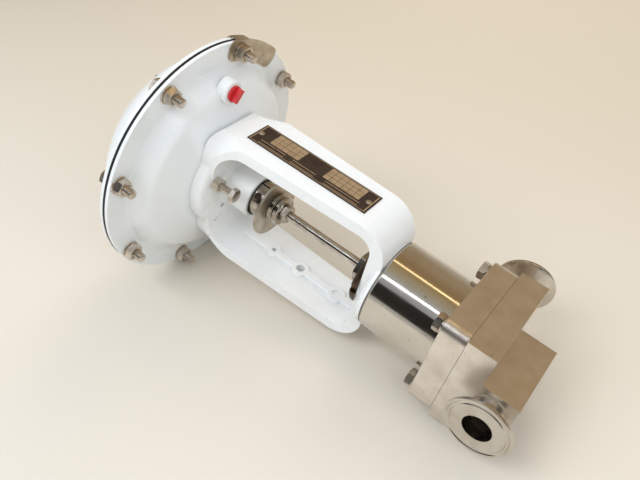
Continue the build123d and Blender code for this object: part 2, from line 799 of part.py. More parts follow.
pieces = {
    "valve_body": valve_body(), "inlet_ferrule": inlet_ferrule(), "outlet_ferrule": outlet_ferrule(),
    "body_gasket": body_gasket(), "bonnet_flange": bonnet_flange(), "bonnet_barrel": bonnet_barrel(),
    "stem_guide_bush": stem_guide_bush(), "body_bolts": body_bolts(), "body_washers": body_washers(),
    "packing_spring": packing_spring(), "packing_rings": packing_rings(), "packing_follower": packing_follower(),
    "gland_nut": gland_nut(), "yoke_nut": yoke_nut(), "yoke": yoke(), "nameplate": nameplate(),
    "nameplate_rivets": nameplate_rivets(), "travel_stop_screw": travel_stop_screw(),
    "travel_stop_nut": travel_stop_nut(), "valve_plug": valve_plug(), "valve_stem": valve_stem(),
    "stem_connector": stem_connector(), "connector_screw": connector_screw(),
    "adjusting_collar": adjusting_collar(), "indicator_disc": indicator_disc(), "ring_nuts": ring_nuts(),
    "jam_nut": jam_nut(), "actuator_stem": actuator_stem(), "diaphragm_washer": diaphragm_washer(),
    "diaphragm_plate": diaphragm_plate(), "stem_lock_nut": stem_lock_nut(), "lower_casing": lower_casing(),
    "upper_casing": upper_casing(), "vent_cap": vent_cap(), "diaphragm": diaphragm(),
    "casing_bolts": casing_ring(casing_bolt), "casing_washers": casing_ring(casing_washer),
    "casing_nuts": casing_ring(casing_nut), "casing_screws": casing_screws(), "stem_bush": stem_bush(),
    "stem_seal": stem_seal(), "actuator_spring": actuator_spring(), "spring_seat": spring_seat(),
    "air_plug": air_plug(), "tag": tag(),
}

# lay the valve down: +X from actuator to body, -Y out of the inlet, +Z up from the resting plane
lie = radians(lie_angle)
lying = Plane(origin=(0, 0, 0), x_dir=(0, -1, 0), z_dir=(-cos(lie), 0, sin(lie))).location
box = Compound(children=[lying * piece for piece in pieces.values()]).bounding_box()
place = Pos(-(box.min.X + box.max.X) / 2, -(box.min.Y + box.max.Y) / 2, -box.min.Z) * lying

os.makedirs("parts", exist_ok=True)
for name, piece in pieces.items():
    export_step(place * piece, f"parts/{name}.step")
print("size", box.size, "lie angle", round(lie_angle, 3), "shift", place.position)
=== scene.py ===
import json
from math import atan2, cos, pi, radians, sin, tan
import bmesh
import bpy
from mathutils import Matrix, Vector


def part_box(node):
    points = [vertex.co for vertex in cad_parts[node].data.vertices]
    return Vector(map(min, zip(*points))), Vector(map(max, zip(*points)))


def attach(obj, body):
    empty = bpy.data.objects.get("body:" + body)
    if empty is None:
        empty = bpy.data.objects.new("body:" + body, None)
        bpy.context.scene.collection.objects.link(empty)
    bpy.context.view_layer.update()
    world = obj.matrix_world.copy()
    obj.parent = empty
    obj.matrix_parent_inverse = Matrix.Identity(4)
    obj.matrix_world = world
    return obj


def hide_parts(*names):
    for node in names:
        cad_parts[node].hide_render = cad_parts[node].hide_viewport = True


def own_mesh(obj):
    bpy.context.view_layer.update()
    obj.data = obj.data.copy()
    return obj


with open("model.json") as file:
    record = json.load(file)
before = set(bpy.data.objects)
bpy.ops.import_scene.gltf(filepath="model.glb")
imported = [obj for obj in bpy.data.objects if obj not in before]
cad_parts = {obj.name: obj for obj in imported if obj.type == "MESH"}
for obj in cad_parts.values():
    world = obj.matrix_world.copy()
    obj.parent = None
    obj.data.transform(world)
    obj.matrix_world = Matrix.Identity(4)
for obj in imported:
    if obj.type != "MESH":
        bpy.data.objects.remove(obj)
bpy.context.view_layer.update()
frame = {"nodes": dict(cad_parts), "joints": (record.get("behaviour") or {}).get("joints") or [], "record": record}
nodes = frame["nodes"]
mm = 0.001


# Everything new is drawn round the stem, in millimetres: Z runs up the stem from the split between
# body and bonnet, and X points out of the inlet. toRow takes such a point to the shared frame.

def stemMatrix():
    axis = Vector(frame["joints"][0]["axis"]).normalized()
    low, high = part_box("valve_stem")
    split = min(v.co.dot(axis) for v in nodes["bonnet_flange"].data.vertices)
    middle = (low + high) / 2
    origin = middle + axis * (split - middle.dot(axis))
    outOfInlet = Vector((0, -1, 0))
    turn = Matrix((outOfInlet, axis.cross(outOfInlet), axis)).transposed().to_4x4()
    return Matrix.Translation(origin) @ turn @ Matrix.Scale(mm, 4)


toRow = stemMatrix()
toStem = toRow.inverted()
stemAxis = (toRow.to_3x3() @ Vector((0, 0, 1))).normalized()


def spanOf(node):
    points = [toStem @ v.co for v in nodes[node].data.vertices]
    low = Vector([min(p[k] for p in points) for k in range(3)])
    high = Vector([max(p[k] for p in points) for k in range(3)])
    return low, high


def mergedCopy(node):
    # the CAD node's triangles welded into one mesh, in the stem's frame
    work = bmesh.new()
    work.from_mesh(nodes[node].data)
    bmesh.ops.remove_doubles(work, verts=work.verts, dist=2e-6)
    work.transform(toStem)
    return work


def islandsOf(node):
    # lowest and highest corner of each separate solid in a node
    work = mergedCopy(node)
    left, found = set(work.verts), []
    while left:
        island, edge = set(), [next(iter(left))]
        while edge:
            vert = edge.pop()
            if vert in island:
                continue
            island.add(vert)
            edge += [e.other_vert(vert) for e in vert.link_edges]
        left -= island
        found.append((Vector([min(v.co[k] for v in island) for k in range(3)]),
                      Vector([max(v.co[k] for v in island) for k in range(3)])))
    work.free()
    return sorted(found, key=lambda span: (round(span[0].x, 1), round(span[0].y, 1)))


# ---- stage, camera and light ----

stageLook = {"near": "DDD7CC", "far": "D6CCBA", "turnsAt": 0.12, "turnWidth": 0.5,
             "reach": 14.0, "roughness": 0.5}
worldBands = [(0.0, "DCD2C2"), (0.06, "C8B8A0"), (0.15, "B9A483"), (0.26, "B8A080"), (0.38, "A98C64"),
              (0.44, "A8895E"), (0.52, "BDA983"), (0.60, "C2B9A4"), (0.66, "C4C6C4"), (0.74, "B9BBC0"),
              (0.84, "B4B4B6"), (0.94, "C9C7C3"), (1.0, "DAD8D2")]
cameraPlace = {"at": (350.96, 376.83, -28.43), "right": (-0.59577, 0.18965, -0.78044),
               "down": (0.48194, -0.69291, -0.53628), "forward": (-0.64248, -0.69563, 0.32142),
               "focalShare": 1.03988, "sensor": 36.0}


def toLinear(hexCode, alpha=1.0):
    values = [int(hexCode[k:k + 2], 16) / 255 for k in (0, 2, 4)]
    return [c / 12.92 if c <= 0.04045 else ((c + 0.055) / 1.055) ** 2.4 for c in values] + [alpha]


def addNode(tree, kind, settings=None, inputs=None, links=None):
    # settings are the node's own options, inputs its fixed values, links the sockets that feed it
    node = tree.nodes.new(kind)
    for name, value in (settings or {}).items():
        setattr(node, name, value)
    for name, value in (inputs or {}).items():
        node.inputs[name].default_value = value
    for name, source in (links or {}).items():
        tree.links.new(source, node.inputs[name])
    return node


def setRamp(ramp, stops):
    band = ramp.color_ramp
    while len(band.elements) < len(stops):
        band.elements.new(0.5)
    for element, (place, colour) in zip(band.elements, stops):
        element.position = place
        element.color = toLinear(colour) if isinstance(colour, str) else (colour, colour, colour, 1)


def mixColours(tree, share, first, second):
    node = addNode(tree, "ShaderNodeMix", {"data_type": "RGBA"}, links={"Factor": share})
    for socket, colour in ((node.inputs[6], first), (node.inputs[7], second)):
        if isinstance(colour, str):
            socket.default_value = toLinear(colour)
        else:
            tree.links.new(colour, socket)
    return node.outputs[2]


def newMaterial(name):
    material = bpy.data.materials.new(name)
    material.use_nodes = True
    tree = material.node_tree
    return material, tree, tree.nodes["Principled BSDF"]


def buildFloor():
    reach = stageLook["reach"]
    mesh = bpy.data.meshes.new("floor")
    corners = [(-reach, -reach, 0), (reach, -reach, 0), (reach, reach, 0), (-reach, reach, 0)]
    mesh.from_pydata(corners, [], [(0, 1, 2, 3)])
    floor = bpy.data.objects.new("floor", mesh)
    bpy.context.scene.collection.objects.link(floor)
    material, tree, shader = newMaterial("paleTable")
    place = addNode(tree, "ShaderNodeTexCoord").outputs["Object"]
    across = addNode(tree, "ShaderNodeSeparateXYZ", links={"Vector": place}).outputs["Y"]
    share = addNode(tree, "ShaderNodeMapRange", {"interpolation_type": "SMOOTHSTEP"},
                    {"From Min": stageLook["turnsAt"] - stageLook["turnWidth"],
                     "From Max": stageLook["turnsAt"] + stageLook["turnWidth"]}, {"Value": across})
    ramp = addNode(tree, "ShaderNodeValToRGB", links={"Fac": share.outputs["Result"]})
    setRamp(ramp, [(0.0, stageLook["near"]), (1.0, stageLook["far"])])
    tree.links.new(ramp.outputs["Color"], shader.inputs["Base Color"])
    shader.inputs["Roughness"].default_value = stageLook["roughness"]
    mesh.materials.append(material)


def buildWorld():
    # a room whose tone changes over an arch: warm wall behind, pale ceiling, cooler wall in front
    world = bpy.data.worlds.new("softRoom")
    bpy.context.scene.world = world
    world.use_nodes = True
    tree = world.node_tree
    direction = addNode(tree, "ShaderNodeTexCoord").outputs["Generated"]
    parts = addNode(tree, "ShaderNodeSeparateXYZ", links={"Vector": direction})
    angle = addNode(tree, "ShaderNodeMath", {"operation": "ARCTAN2"})
    tree.links.new(parts.outputs["Z"], angle.inputs[0])
    tree.links.new(parts.outputs["Y"], angle.inputs[1])
    share = addNode(tree, "ShaderNodeMath", {"operation": "DIVIDE"}, {1: pi}, {0: angle.outputs[0]})
    ramp = addNode(tree, "ShaderNodeValToRGB", links={"Fac": share.outputs[0]})
    setRamp(ramp, worldBands)
    glossy = addNode(tree, "ShaderNodeLightPath").outputs["Is Glossy Ray"]
    background = tree.nodes["Background"]
    tree.links.new(mixColours(tree, glossy, "E4E7EC", ramp.outputs["Color"]), background.inputs["Color"])
    background.inputs["Strength"].default_value = 0.8


def archPlace(angle, distance, centre=(0.12, 0.0, 0.09)):
    # a place on the arch over the valve, 0 degrees at the far side and 90 overhead
    return Vector(centre) + distance * Vector((0, cos(radians(angle)), sin(radians(angle))))


def addLamp(name, place, target, size, power, colour="FFFFFF", shows=True):
    data = bpy.data.lights.new(name, "AREA")
    data.shape = "RECTANGLE"
    data.size, data.size_y = size
    data.energy = power
    data.color = toLinear(colour)[:3]
    lamp = bpy.data.objects.new(name, data)
    bpy.context.scene.collection.objects.link(lamp)
    lamp.location = place
    lamp.rotation_euler = (Vector(target) - Vector(place)).to_track_quat("-Z", "X").to_euler()
    lamp.visible_glossy = shows


def addCard(name, fromAngle, toAngle, distance, length, colour):
    # a dark card out of view that polished metal reflects
    low, high = archPlace(fromAngle, distance), archPlace(toAngle, distance)
    mesh = bpy.data.meshes.new(name)
    half = Vector((length / 2, 0, 0))
    mesh.from_pydata([low - half, low + half, high + half, high - half], [], [(0, 1, 2, 3)])
    card = bpy.data.objects.new(name, mesh)
    bpy.context.scene.collection.objects.link(card)
    material, _, shader = newMaterial(name + "Cloth")
    shader.inputs["Base Color"].default_value = toLinear(colour)
    shader.inputs["Roughness"].default_value = 0.9
    mesh.materials.append(material)
    card.visible_camera = False
    card.visible_diffuse = False
    card.visible_shadow = False


def buildLights():
    middle = (0.02, 0, 0.08)
    addLamp("whiteStrip", archPlace(125, 1.3), archPlace(0, 0), (0.075, 3.0), 3.4, "F4FAFF")
    addLamp("warmStrip", archPlace(81, 1.3), archPlace(0, 0), (0.06, 3.0), 1.7, "FFE2AE")
    addLamp("keyLamp", (-0.45, -1.1, 1.25), middle, (1.0, 1.0), 12, "F6FAFF", shows=False)
    addLamp("sideLamp", (1.3, -0.5, 0.8), middle, (0.9, 0.9), 6, "FDFBF7", shows=False)
    addLamp("backLamp", (-0.3, 1.2, 1.1), middle, (1.2, 0.8), 7, "FFF0DA", shows=False)
    addCard("darkCard", 142, 176, 1.5, 5.0, "1E1A1A")


def buildCamera():
    data = bpy.data.cameras.new("camera")
    data.sensor_width = cameraPlace["sensor"]
    data.lens = cameraPlace["focalShare"] * cameraPlace["sensor"]
    data.clip_start = 0.01
    camera = bpy.data.objects.new("camera", data)
    bpy.context.scene.collection.objects.link(camera)
    turn = toRow.to_3x3().normalized()
    senses = (("right", 1), ("down", -1), ("forward", -1))
    right, up, back = [turn @ Vector(cameraPlace[k]) * sense for k, sense in senses]
    camera.matrix_world = Matrix.Translation(toRow @ Vector(cameraPlace["at"])) @ \
        Matrix((right, up, back)).transposed().to_4x4()
    bpy.context.scene.camera = camera


buildFloor()
buildWorld()
buildLights()
buildCamera()
bpy.context.scene.view_settings.view_transform = "Standard"
print("stage, light and camera are set")


# ---- finishes ----
# Patterns read Object coordinates in metres, so a scale of 1000 gives one cell a millimetre.

def stemCoordinates(tree):
    # Object coordinates turned so that Z runs along the stem, centred on it
    turn = Matrix.Rotation(atan2(-stemAxis.x, stemAxis.z), 3, "Y")
    shift = -(turn @ (toRow @ Vector((0, 0, 0))))
    place = addNode(tree, "ShaderNodeTexCoord").outputs["Object"]
    return addNode(tree, "ShaderNodeMapping", inputs={"Rotation": turn.to_euler(), "Location": shift},
                   links={"Vector": place}).outputs["Vector"]


def noiseAt(tree, vector, sizeMm, detail=2.0, stretch=None, roughness=0.5):
    # noise with cells of about this size, stretched along an axis where given
    if stretch:
        vector = addNode(tree, "ShaderNodeMapping", {"vector_type": "POINT"}, {"Scale": stretch},
                         {"Vector": vector}).outputs["Vector"]
    return addNode(tree, "ShaderNodeTexNoise", inputs={"Scale": 1000.0 / sizeMm, "Detail": detail,
                   "Roughness": roughness}, links={"Vector": vector}).outputs["Fac"]


def rangeOf(tree, value, lowIn, highIn, lowOut, highOut):
    limits = {"From Min": lowIn, "From Max": highIn, "To Min": lowOut, "To Max": highOut}
    return addNode(tree, "ShaderNodeMapRange", inputs=limits, links={"Value": value}).outputs["Result"]


def addBump(tree, shader, height, depthMm, under=None):
    links = {"Height": height}
    if under:
        links["Normal"] = under
    bump = addNode(tree, "ShaderNodeBump", inputs={"Strength": 1.0, "Distance": depthMm * mm}, links=links)
    tree.links.new(bump.outputs["Normal"], shader.inputs["Normal"])
    return bump.outputs["Normal"]


def metalFinish(name, look):
    # colour and stain drift over a patch, roughness drifts with it, and fine tool marks lie on top
    material, tree, shader = newMaterial(name)
    vector = stemCoordinates(tree)
    patch = noiseAt(tree, vector, look["patch"], 4.0)
    share = rangeOf(tree, patch, 0.35, 0.7, 0.0, 1.0)
    colour = mixColours(tree, share, look["colour"], look["stain"])
    if look.get("spots"):
        speck = noiseAt(tree, vector, look["spotSize"], 1.0)
        colour = mixColours(tree, rangeOf(tree, speck, look["spots"], look["spots"] + 0.03, 0.0, 1.0),
                            colour, look["spotColour"])
    tree.links.new(colour, shader.inputs["Base Color"])
    shader.inputs["Metallic"].default_value = 1.0
    smooth, rough = look["roughness"]
    tree.links.new(rangeOf(tree, patch, 0.3, 0.7, smooth, rough), shader.inputs["Roughness"])
    marks = noiseAt(tree, vector, look["marks"], 3.0, look.get("along"))
    addBump(tree, shader, marks, look["markDepth"])
    return material


def paintFinish(name, look):
    # baked powder: even and glossy, with a faint peel, the casting's waves below it and a few chips
    material, tree, shader = newMaterial(name)
    vector = stemCoordinates(tree)
    dust = noiseAt(tree, vector, look["dustSize"], 3.0)
    colour = mixColours(tree, rangeOf(tree, dust, 0.25, 0.85, 0.0, 1.0), look["colour"], look["dust"])
    chip = noiseAt(tree, vector, look["chipSize"], 3.0)
    chipShare = rangeOf(tree, chip, look["chips"], look["chips"] + 0.01, 0.0, 1.0)
    colour = mixColours(tree, chipShare, colour, look["chipColour"])
    tree.links.new(colour, shader.inputs["Base Color"])
    shader.inputs["Coat Weight"].default_value = 0.35
    shader.inputs["Coat Roughness"].default_value = 0.08
    tree.links.new(rangeOf(tree, dust, 0.3, 0.7, *look["roughness"]), shader.inputs["Roughness"])
    waves = addBump(tree, shader, noiseAt(tree, vector, look["waveSize"], 1.0), look["waveDepth"])
    addBump(tree, shader, noiseAt(tree, vector, look["peelSize"], 1.0), look["peelDepth"], under=waves)
    return material


def plainFinish(name, look):
    # moulded, pressed or rubbed surfaces: colour drifting between two tones with a fine grain
    material, tree, shader = newMaterial(name)
    vector = stemCoordinates(tree)
    drift = noiseAt(tree, vector, look["patch"], 3.0)
    colour = mixColours(tree, rangeOf(tree, drift, 0.35, 0.7, 0.0, 1.0), look["colour"], look["tone"])
    tree.links.new(colour, shader.inputs["Base Color"])
    shader.inputs["Metallic"].default_value = look.get("metallic", 0.0)
    shader.inputs["IOR"].default_value = look.get("ior", 1.5)
    tree.links.new(rangeOf(tree, drift, 0.3, 0.7, *look["roughness"]), shader.inputs["Roughness"])
    addBump(tree, shader, noiseAt(tree, vector, look["grain"], 2.0), look["grainDepth"])
    return material


finishes = {
    # powder coat over a sand casting: softly wavy under the gloss
    "castPaint": paintFinish("whitePowderCoatOnCasting", {
        "colour": "E9EDEF", "dust": "E0E1DF", "dustSize": 45.0, "chipColour": "6E6355", "chips": 0.79,
        "chipSize": 7.0, "roughness": (0.2, 0.34), "waveSize": 22.0, "waveDepth": 0.12,
        "peelSize": 1.8, "peelDepth": 0.012}),
    # the same coat over pressed sheet: flatter, glossier
    "sheetPaint": paintFinish("whitePowderCoatOnPressing", {
        "colour": "E8EDF0", "dust": "DFE2E2", "dustSize": 60.0, "chipColour": "5E564B", "chips": 0.8,
        "chipSize": 6.0, "roughness": (0.16, 0.28), "waveSize": 34.0, "waveDepth": 0.12,
        "peelSize": 1.6, "peelDepth": 0.01}),
    # stainless bar stock, milled and rubbed: satin with faint cutter lines and handling stains
    "milled": metalFinish("satinMilledStainless", {
        "colour": "EDE7E0", "stain": "DDD3C8", "patch": 14.0, "roughness": (0.3, 0.42), "marks": 0.8,
        "along": (0.08, 1.0, 1.0), "markDepth": 0.02, "spots": 0.77,
        "spotSize": 2.4, "spotColour": "A89A8A"}),
    # bonnet barrel: turned, then buffed to a mirror, so it shows the room in bands with fine rings and pits
    "mirror": metalFinish("buffedStainless", {
        "colour": "D9D5CF", "stain": "CFC8BC", "patch": 26.0, "roughness": (0.09, 0.17), "marks": 0.35,
        "along": (0.02, 0.02, 1.0), "markDepth": 0.0035, "spots": 0.74,
        "spotSize": 2.4, "spotColour": "9B9187"}),
    # sanitary ferrules: polished inside and out, brighter than the body
    "polished": metalFinish("polishedStainless", {
        "colour": "D6D1C9", "stain": "C4BBAE", "patch": 12.0, "roughness": (0.12, 0.22), "marks": 0.5,
        "along": (1.0, 1.0, 1.0), "markDepth": 0.004}),
    # rolled thread fasteners: dull stainless browned by handling
    "fastener": metalFinish("plainStainlessFasteners", {
        "colour": "DED6CC", "stain": "BFB3A5", "patch": 6.0, "roughness": (0.26, 0.42), "marks": 0.5,
        "markDepth": 0.01}),
    # ground and polished rod: long soft streaks along it
    "rod": metalFinish("groundStainlessRod", {
        "colour": "D6D0C8", "stain": "B4AA9F", "patch": 9.0, "roughness": (0.1, 0.2), "marks": 0.4,
        "along": (1.0, 1.0, 0.03), "markDepth": 0.004}),
    # turned sleeves and nuts: visible tool rings round the stem
    "turned": metalFinish("turnedStainless", {
        "colour": "C2BBB2", "stain": "8F867B", "patch": 5.0, "roughness": (0.12, 0.24), "marks": 0.45,
        "along": (0.03, 0.03, 1.0), "markDepth": 0.012}),
    # yoke lock nut: brown oxide with a greasy sheen
    "oxide": metalFinish("brownOxideSteel", {
        "colour": "6E5F50", "stain": "4B3F35", "patch": 4.0, "roughness": (0.3, 0.5),
        "marks": 0.8, "markDepth": 0.03}),
    # rolled sheet: dull grey brown with rubbed streaks
    "sheet": metalFinish("dullRolledStainless", {
        "colour": "C6BDAE", "stain": "ADA190", "patch": 10.0, "roughness": (0.34, 0.46), "marks": 0.7,
        "along": (0.2, 1.0, 1.0), "markDepth": 0.012, "spots": 0.73,
        "spotSize": 4.0, "spotColour": "857866"}),
    # oil tempered spring wire: dark and slightly glossy
    "springWire": metalFinish("temperedSpringWire", {
        "colour": "6A6A6C", "stain": "4E4C4B", "patch": 8.0, "roughness": (0.3, 0.42),
        "marks": 0.6, "markDepth": 0.01}),
    # bearing bronze: warm, fine turned
    "bronze": metalFinish("bearingBronze", {
        "colour": "A9834F", "stain": "8A673A", "patch": 6.0, "roughness": (0.28, 0.4), "marks": 0.4,
        "along": (0.05, 0.05, 1.0), "markDepth": 0.01}),
    # printed aluminium plate: dark brown ink with a satin lacquer
    "plateInk": plainFinish("brownPlateInk", {
        "colour": "2B201C", "tone": "372A24", "patch": 9.0, "roughness": (0.24, 0.36), "grain": 0.4,
        "grainDepth": 0.004}),
    # bare fields of the plate: warm grey metal showing through the print
    "plateField": plainFinish("barePlateFields", {
        "colour": "C4AE90", "tone": "B39C7D", "patch": 6.0, "roughness": (0.34, 0.44), "grain": 0.5,
        "grainDepth": 0.004, "metallic": 0.6}),
    # moulded thread protector: saturated red, slightly waxy
    "redPlug": plainFinish("mouldedRedPolythene", {
        "colour": "CC2B30", "tone": "BC2128", "patch": 5.0, "roughness": (0.3, 0.4), "grain": 0.9,
        "grainDepth": 0.01, "ior": 1.51}),
    # fabric backed nitrile: matt black edge between the casings
    "rubber": plainFinish("fabricBackedNitrile", {
        "colour": "17171A", "tone": "222226", "patch": 4.0, "roughness": (0.55, 0.7), "grain": 0.7,
        "grainDepth": 0.03, "ior": 1.52}),
    # turned PTFE: waxy white
    "ptfe": plainFinish("turnedPtfe", {
        "colour": "E8E6DE", "tone": "DEDACF", "patch": 5.0, "roughness": (0.4, 0.5), "grain": 0.5,
        "grainDepth": 0.008, "ior": 1.38}),
    # moulded vent: dark grey glass filled nylon
    "nylon": plainFinish("glassFilledNylon", {
        "colour": "3C3D3F", "tone": "48494B", "patch": 4.0, "roughness": (0.45, 0.6), "grain": 0.5,
        "grainDepth": 0.02, "ior": 1.53}),
}
slotFinish = {
    "white_paint": "sheetPaint", "machined_steel": "milled", "polished_steel": "polished",
    "bolt_steel": "fastener", "stem_steel": "rod", "turned_steel": "turned", "dark_steel": "oxide",
    "plate_steel": "sheet", "nameplate_brown": "plateInk", "red_plastic": "redPlug", "black_rubber": "rubber",
    "white_ptfe": "ptfe", "bronze": "bronze", "spring_steel": "springWire", "grey_plastic": "nylon"}
nodeFinish = {"yoke": "castPaint", "bonnet_barrel": "mirror"}
slotOf = {entry["node"]: entry["material_slot"] for entry in frame["record"]["subparts"]}


def finishOf(node):
    return finishes[nodeFinish.get(node, slotFinish[slotOf[node]])]


for name in slotOf:
    nodes[name].data.materials.clear()
    nodes[name].data.materials.append(finishOf(name))
print("finishes are set on", len(slotOf), "nodes")

# ---- shaping helpers: work happens in stem millimetres, and makePiece carries the result over ----

# a hexagon's chamfer starts at this share of its width across flats and falls at this angle
cornerShare = 0.475
cornerSlope = 28


def makePiece(name, work, material, body, node=None, smooth=32.0, weigh=False):
    if work.faces:
        bmesh.ops.recalc_face_normals(work, faces=work.faces)
    mesh = bpy.data.meshes.new(name)
    work.to_mesh(mesh)
    work.free()
    mesh.transform(toRow)
    mesh.validate()
    mesh.shade_smooth()
    mesh.set_sharp_from_angle(angle=radians(smooth))
    if weigh:
        weighNormals(mesh, smooth)
    mesh.materials.clear()
    mesh.materials.append(material)
    piece = bpy.data.objects.new(name, mesh)
    bpy.context.scene.collection.objects.link(piece)
    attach(piece, body)
    if node:
        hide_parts(node)
    return piece


def meshOf(work):
    mesh = bpy.data.meshes.new("work")
    work.to_mesh(mesh)
    work.free()
    return mesh


def evaluated(mesh, setUp):
    # one modifier put on a loose object, read back as a plain mesh
    loose = bpy.data.objects.new("loose", mesh)
    bpy.context.scene.collection.objects.link(loose)
    setUp(loose)
    graph = bpy.context.evaluated_depsgraph_get()
    made = bpy.data.meshes.new_from_object(loose.evaluated_get(graph))
    bpy.data.objects.remove(loose)
    return made


def roundEdges(mesh, width, segments, angle):
    def setUp(loose):
        bevel = loose.modifiers.new("round", "BEVEL")
        bevel.width = width
        bevel.segments = segments
        bevel.limit_method = "ANGLE"
        bevel.angle_limit = radians(angle)

    return evaluated(mesh, setUp)


def bevelled(node, width):
    # the CAD form with its hard edges broken
    done = bmesh.new()
    done.from_mesh(roundEdges(meshOf(mergedCopy(node)), width, 2, 34.0))
    return done


def weighNormals(mesh, angle):
    # flat faces keep flat shading up to their rounded edges
    limit = cos(radians(angle))
    meeting = [[] for _ in mesh.vertices]
    for face in mesh.polygons:
        for corner in face.vertices:
            meeting[corner].append((face.normal.copy(), face.area))
    normals = []
    for face in mesh.polygons:
        own = face.normal
        for corner in face.vertices:
            total = Vector((0, 0, 0))
            for normal, area in meeting[corner]:
                if normal.dot(own) > limit:
                    total += normal * area
            normals.append(total.normalized() if total.length > 0 else own.copy())
    mesh.normals_split_custom_set(normals)


def joinRings(work, rings, closed=False):
    # skin over rings of as many points, capped at both ends unless they close on themselves
    following = rings[1:] + rings[:1] if closed else rings[1:]
    for low, high in zip(rings, following):
        for k in range(len(low)):
            after = (k + 1) % len(low)
            work.faces.new((low[k], low[after], high[after], high[k]))
    if not closed:
        work.faces.new(rings[0])
        work.faces.new(rings[-1])


def lathe(work, profile, centre=(0, 0), steps=48, turn=0.0, closed=False):
    # profile entries: (radius, z), or (across flats, z, side) for a hexagon chamfered on that side
    rings = []
    for entry in profile:
        ring = []
        for k in range(steps):
            angle = 2 * pi * k / steps
            radius, height = entry[0], entry[1]
            if len(entry) > 2:
                radius = entry[0] / 2 / cos((angle % (pi / 3)) - pi / 6)
                height -= entry[2] * (radius - entry[0] * cornerShare) * tan(radians(cornerSlope))
            spot = (centre[0] + radius * cos(angle + turn), centre[1] + radius * sin(angle + turn), height)
            ring.append(work.verts.new(spot))
        rings.append(ring)
    joinRings(work, rings, closed)
    return work


def newTree(name, sizes):
    # a geometry tree with a mesh in and out, float sizes and the finish as named inputs
    tree = bpy.data.node_groups.new(name, "GeometryNodeTree")
    tree.interface.new_socket("Geometry", in_out="INPUT", socket_type="NodeSocketGeometry")
    for label in sizes:
        tree.interface.new_socket(label, in_out="INPUT", socket_type="NodeSocketFloat")
    tree.interface.new_socket("Piece", in_out="INPUT", socket_type="NodeSocketObject")
    tree.interface.new_socket("Finish", in_out="INPUT", socket_type="NodeSocketMaterial")
    tree.interface.new_socket("Geometry", in_out="OUTPUT", socket_type="NodeSocketGeometry")
    return tree, tree.nodes.new("NodeGroupInput").outputs


def endTree(tree, geometry, ins):
    whole = addNode(tree, "GeometryNodeRealizeInstances", links={"Geometry": geometry})
    coated = addNode(tree, "GeometryNodeSetMaterial", links={
        "Geometry": whole.outputs[0], "Material": ins["Finish"]})
    tree.links.new(coated.outputs[0], tree.nodes.new("NodeGroupOutput").inputs[0])


def runTree(tree, values, source=None):
    def setUp(loose):
        modifier = loose.modifiers.new("made", "NODES")
        modifier.node_group = tree
        for item in tree.interface.items_tree:
            if item.in_out == "INPUT" and item.name in values:
                modifier[item.identifier] = values[item.name]

    return evaluated(source or bpy.data.meshes.new("start"), setUp)


def calc(tree, operation, first, second):
    node = addNode(tree, "ShaderNodeMath", {"operation": operation})
    for k, value in enumerate((first, second)):
        if isinstance(value, (int, float)):
            node.inputs[k].default_value = value
        else:
            tree.links.new(value, node.inputs[k])
    return node.outputs[0]


def threadTree():
    # a core with a helical ridge up to the outside radius
    tree, ins = newTree("rolledThread", ("Radius", "Length", "Pitch", "Depth"))
    root = calc(tree, "SUBTRACT", ins["Radius"], ins["Depth"])
    turns = calc(tree, "DIVIDE", ins["Length"], ins["Pitch"])
    line = addNode(tree, "GeometryNodeCurveSpiral", inputs={"Resolution": 28}, links={
        "Rotations": turns, "Start Radius": root, "End Radius": root, "Height": ins["Length"]})
    upright = addNode(tree, "GeometryNodeSetCurveNormal", links={"Curve": line.outputs[0]})
    upright.mode = "Z_UP"
    tooth = addNode(tree, "GeometryNodeCurvePrimitiveCircle", inputs={"Resolution": 6},
                    links={"Radius": ins["Depth"]})
    ridge = addNode(tree, "GeometryNodeCurveToMesh", inputs={"Fill Caps": True},
                    links={"Curve": upright.outputs[0], "Profile Curve": tooth.outputs[0]})
    core = addNode(tree, "GeometryNodeMeshCylinder", inputs={"Vertices": 40},
                   links={"Radius": root, "Depth": ins["Length"]})
    half = calc(tree, "MULTIPLY", ins["Length"], 0.5)
    lift = addNode(tree, "ShaderNodeCombineXYZ", links={"Z": half})
    raised = addNode(tree, "GeometryNodeTransform", links={
        "Geometry": core.outputs[0], "Translation": lift.outputs[0]})
    both = tree.nodes.new("GeometryNodeJoinGeometry")
    tree.links.new(ridge.outputs[0], both.inputs[0])
    tree.links.new(raised.outputs[0], both.inputs[0])
    endTree(tree, both.outputs[0], ins)
    return tree


def scatterTree():
    # one piece set at every point, each turned about its axis by a share of a full turn
    tree, ins = newTree("setAtPoints", ("Spread", "Seed"))
    piece = addNode(tree, "GeometryNodeObjectInfo", links={"Object": ins["Piece"]})
    chance = addNode(tree, "FunctionNodeRandomValue", {"data_type": "FLOAT"})
    tree.links.new(ins["Spread"], chance.inputs[3])
    tree.links.new(ins["Seed"], chance.inputs["Seed"])
    turn = addNode(tree, "ShaderNodeCombineXYZ", links={"Z": chance.outputs[1]})
    placed = addNode(tree, "GeometryNodeInstanceOnPoints", links={
        "Points": ins["Geometry"], "Instance": piece.outputs["Geometry"], "Rotation": turn.outputs[0]})
    endTree(tree, placed.outputs[0], ins)
    return tree


